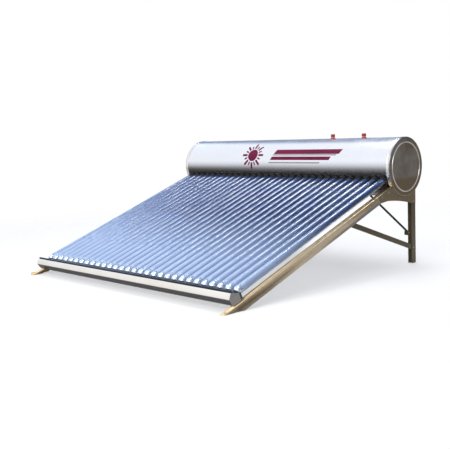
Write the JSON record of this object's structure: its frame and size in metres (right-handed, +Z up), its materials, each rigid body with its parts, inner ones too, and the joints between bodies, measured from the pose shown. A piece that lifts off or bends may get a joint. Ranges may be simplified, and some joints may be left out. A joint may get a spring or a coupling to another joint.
{
  "type": "solar water heater",
  "caption": "Solar water heater: horizontal insulated tank fed by sloping evacuated glass tubes, on a stainless steel frame.",
  "frame": {"origin": "on the ground, under the middle of the whole heater", "axes": "+X along the tank, +Y towards the back (the tubes slope down to -Y), +Z up"},
  "size_m": [2.324, 2.2268, 1.04],
  "materials": {
    "jacket_steel": "satin stainless",
    "cap_steel": "polished stainless",
    "tank_steel": "mill finish stainless",
    "frame_steel": "bright rolled stainless",
    "rail_steel": "bright rolled stainless",
    "fastener_steel": "plain stainless",
    "foam": "rigid foam",
    "magnesium": "cast, dull",
    "silicone": "soft matt",
    "black_rubber": "matt",
    "black_plastic": "moulded",
    "tube_glass": "clear outer glass over a dark blue absorber coating",
    "port_brass": "turned",
    "red_rubber": "matt",
    "red_plastic": "moulded"
  },
  "bodies": {
    "frame_and_tank": {"outer_jacket": "jacket_steel", "inner_tank": "tank_steel", "anode_rod": "magnesium", "insulation_foam": "foam", "end_cap_right": "cap_steel", "end_cap_left": "cap_steel", "tube_seals": "silicone", "dust_rings": "black_rubber", "bottom_rail": "rail_steel", "rail_end_plates": "rail_steel", "tail_cups": "black_plastic", "front_leg_right": "frame_steel", "front_leg_left": "frame_steel", "rear_leg_right": "frame_steel", "rear_leg_left": "frame_steel", "saddle_right": "frame_steel", "saddle_left": "frame_steel", "side_brace_right": "frame_steel", "side_brace_left": "frame_steel", "rear_tie_bar": "frame_steel", "knee_braces": "frame_steel", "top_ports": "port_brass", "rear_ports": "port_brass", "port_grommets": "red_rubber", "frame_bolts": "fastener_steel", "frame_nuts": "fastener_steel"},
    "glass_01": {"tube_01": "tube_glass"},
    "glass_02": {"tube_02": "tube_glass"},
    "glass_03": {"tube_03": "tube_glass"},
    "glass_04": {"tube_04": "tube_glass"},
    "glass_05": {"tube_05": "tube_glass"},
    "glass_06": {"tube_06": "tube_glass"},
    "glass_07": {"tube_07": "tube_glass"},
    "glass_08": {"tube_08": "tube_glass"},
    "glass_09": {"tube_09": "tube_glass"},
    "glass_10": {"tube_10": "tube_glass"},
    "glass_11": {"tube_11": "tube_glass"},
    "glass_12": {"tube_12": "tube_glass"},
    "glass_13": {"tube_13": "tube_glass"},
    "glass_14": {"tube_14": "tube_glass"},
    "glass_15": {"tube_15": "tube_glass"},
    "glass_16": {"tube_16": "tube_glass"},
    "glass_17": {"tube_17": "tube_glass"},
    "glass_18": {"tube_18": "tube_glass"},
    "glass_19": {"tube_19": "tube_glass"},
    "glass_20": {"tube_20": "tube_glass"},
    "glass_21": {"tube_21": "tube_glass"},
    "glass_22": {"tube_22": "tube_glass"},
    "glass_23": {"tube_23": "tube_glass"},
    "glass_24": {"tube_24": "tube_glass"},
    "glass_25": {"tube_25": "tube_glass"},
    "glass_26": {"tube_26": "tube_glass"},
    "glass_27": {"tube_27": "tube_glass"},
    "glass_28": {"tube_28": "tube_glass"},
    "glass_29": {"tube_29": "tube_glass"},
    "glass_30": {"tube_30": "tube_glass"},
    "washer_inner": {"port_washer_inner": "silicone"},
    "cap_inner": {"port_cap_inner": "red_plastic"},
    "washer_outer": {"port_washer_outer": "silicone"},
    "cap_outer": {"port_cap_outer": "red_plastic"}
  },
  "joints": [
    {"name": "tube_01_slide", "type": "slide", "parent": "frame_and_tank", "child": "glass_01", "axis": [0, 0.9444, 0.3289], "range_m": [0, 0.035]},
    {"name": "tube_02_slide", "type": "slide", "parent": "frame_and_tank", "child": "glass_02", "axis": [0, 0.9444, 0.3289], "range_m": [0, 0.035]},
    {"name": "tube_03_slide", "type": "slide", "parent": "frame_and_tank", "child": "glass_03", "axis": [0, 0.9444, 0.3289], "range_m": [0, 0.035]},
    {"name": "tube_04_slide", "type": "slide", "parent": "frame_and_tank", "child": "glass_04", "axis": [0, 0.9444, 0.3289], "range_m": [0, 0.035]},
    {"name": "tube_05_slide", "type": "slide", "parent": "frame_and_tank", "child": "glass_05", "axis": [0, 0.9444, 0.3289], "range_m": [0, 0.035]},
    {"name": "tube_06_slide", "type": "slide", "parent": "frame_and_tank", "child": "glass_06", "axis": [0, 0.9444, 0.3289], "range_m": [0, 0.035]},
    {"name": "tube_07_slide", "type": "slide", "parent": "frame_and_tank", "child": "glass_07", "axis": [0, 0.9444, 0.3289], "range_m": [0, 0.035]},
    {"name": "tube_08_slide", "type": "slide", "parent": "frame_and_tank", "child": "glass_08", "axis": [0, 0.9444, 0.3289], "range_m": [0, 0.035]},
    {"name": "tube_09_slide", "type": "slide", "parent": "frame_and_tank", "child": "glass_09", "axis": [0, 0.9444, 0.3289], "range_m": [0, 0.035]},
    {"name": "tube_10_slide", "type": "slide", "parent": "frame_and_tank", "child": "glass_10", "axis": [0, 0.9444, 0.3289], "range_m": [0, 0.035]},
    {"name": "tube_11_slide", "type": "slide", "parent": "frame_and_tank", "child": "glass_11", "axis": [0, 0.9444, 0.3289], "range_m": [0, 0.035]},
    {"name": "tube_12_slide", "type": "slide", "parent": "frame_and_tank", "child": "glass_12", "axis": [0, 0.9444, 0.3289], "range_m": [0, 0.035]},
    {"name": "tube_13_slide", "type": "slide", "parent": "frame_and_tank", "child": "glass_13", "axis": [0, 0.9444, 0.3289], "range_m": [0, 0.035]},
    {"name": "tube_14_slide", "type": "slide", "parent": "frame_and_tank", "child": "glass_14", "axis": [0, 0.9444, 0.3289], "range_m": [0, 0.035]},
    {"name": "tube_15_slide", "type": "slide", "parent": "frame_and_tank", "child": "glass_15", "axis": [0, 0.9444, 0.3289], "range_m": [0, 0.035]},
    {"name": "tube_16_slide", "type": "slide", "parent": "frame_and_tank", "child": "glass_16", "axis": [0, 0.9444, 0.3289], "range_m": [0, 0.035]},
    {"name": "tube_17_slide", "type": "slide", "parent": "frame_and_tank", "child": "glass_17", "axis": [0, 0.9444, 0.3289], "range_m": [0, 0.035]},
    {"name": "tube_18_slide", "type": "slide", "parent": "frame_and_tank", "child": "glass_18", "axis": [0, 0.9444, 0.3289], "range_m": [0, 0.035]},
    {"name": "tube_19_slide", "type": "slide", "parent": "frame_and_tank", "child": "glass_19", "axis": [0, 0.9444, 0.3289], "range_m": [0, 0.035]},
    {"name": "tube_20_slide", "type": "slide", "parent": "frame_and_tank", "child": "glass_20", "axis": [0, 0.9444, 0.3289], "range_m": [0, 0.035]},
    {"name": "tube_21_slide", "type": "slide", "parent": "frame_and_tank", "child": "glass_21", "axis": [0, 0.9444, 0.3289], "range_m": [0, 0.035]},
    {"name": "tube_22_slide", "type": "slide", "parent": "frame_and_tank", "child": "glass_22", "axis": [0, 0.9444, 0.3289], "range_m": [0, 0.035]},
    {"name": "tube_23_slide", "type": "slide", "parent": "frame_and_tank", "child": "glass_23", "axis": [0, 0.9444, 0.3289], "range_m": [0, 0.035]},
    {"name": "tube_24_slide", "type": "slide", "parent": "frame_and_tank", "child": "glass_24", "axis": [0, 0.9444, 0.3289], "range_m": [0, 0.035]},
    {"name": "tube_25_slide", "type": "slide", "parent": "frame_and_tank", "child": "glass_25", "axis": [0, 0.9444, 0.3289], "range_m": [0, 0.035]},
    {"name": "tube_26_slide", "type": "slide", "parent": "frame_and_tank", "child": "glass_26", "axis": [0, 0.9444, 0.3289], "range_m": [0, 0.035]},
    {"name": "tube_27_slide", "type": "slide", "parent": "frame_and_tank", "child": "glass_27", "axis": [0, 0.9444, 0.3289], "range_m": [0, 0.035]},
    {"name": "tube_28_slide", "type": "slide", "parent": "frame_and_tank", "child": "glass_28", "axis": [0, 0.9444, 0.3289], "range_m": [0, 0.035]},
    {"name": "tube_29_slide", "type": "slide", "parent": "frame_and_tank", "child": "glass_29", "axis": [0, 0.9444, 0.3289], "range_m": [0, 0.035]},
    {"name": "tube_30_slide", "type": "slide", "parent": "frame_and_tank", "child": "glass_30", "axis": [0, 0.9444, 0.3289], "range_m": [0, 0.035]},
    {"name": "port_cap_inner_lift", "type": "slide", "parent": "frame_and_tank", "child": "washer_inner", "axis": [0, 0, 1], "range_m": [0, 0.00546]},
    {"name": "port_cap_inner_turn", "type": "hinge", "parent": "washer_inner", "child": "cap_inner", "pos_m": [0.456, 0.88287, 1.026], "axis": [0, 0, 1], "range_deg": [0, 1080]},
    {"name": "port_cap_outer_lift", "type": "slide", "parent": "frame_and_tank", "child": "washer_outer", "axis": [0, 0, 1], "range_m": [0, 0.00546]},
    {"name": "port_cap_outer_turn", "type": "hinge", "parent": "washer_outer", "child": "cap_outer", "pos_m": [0.768, 0.88287, 1.026], "axis": [0, 0, 1], "range_deg": [0, 1080]}
  ],
  "couplings": [
    {"joint": "port_cap_inner_lift", "follows": "port_cap_inner_turn", "m_per_rad": 0.00028871},
    {"joint": "port_cap_outer_lift", "follows": "port_cap_outer_turn", "m_per_rad": 0.00028871}
  ]
}
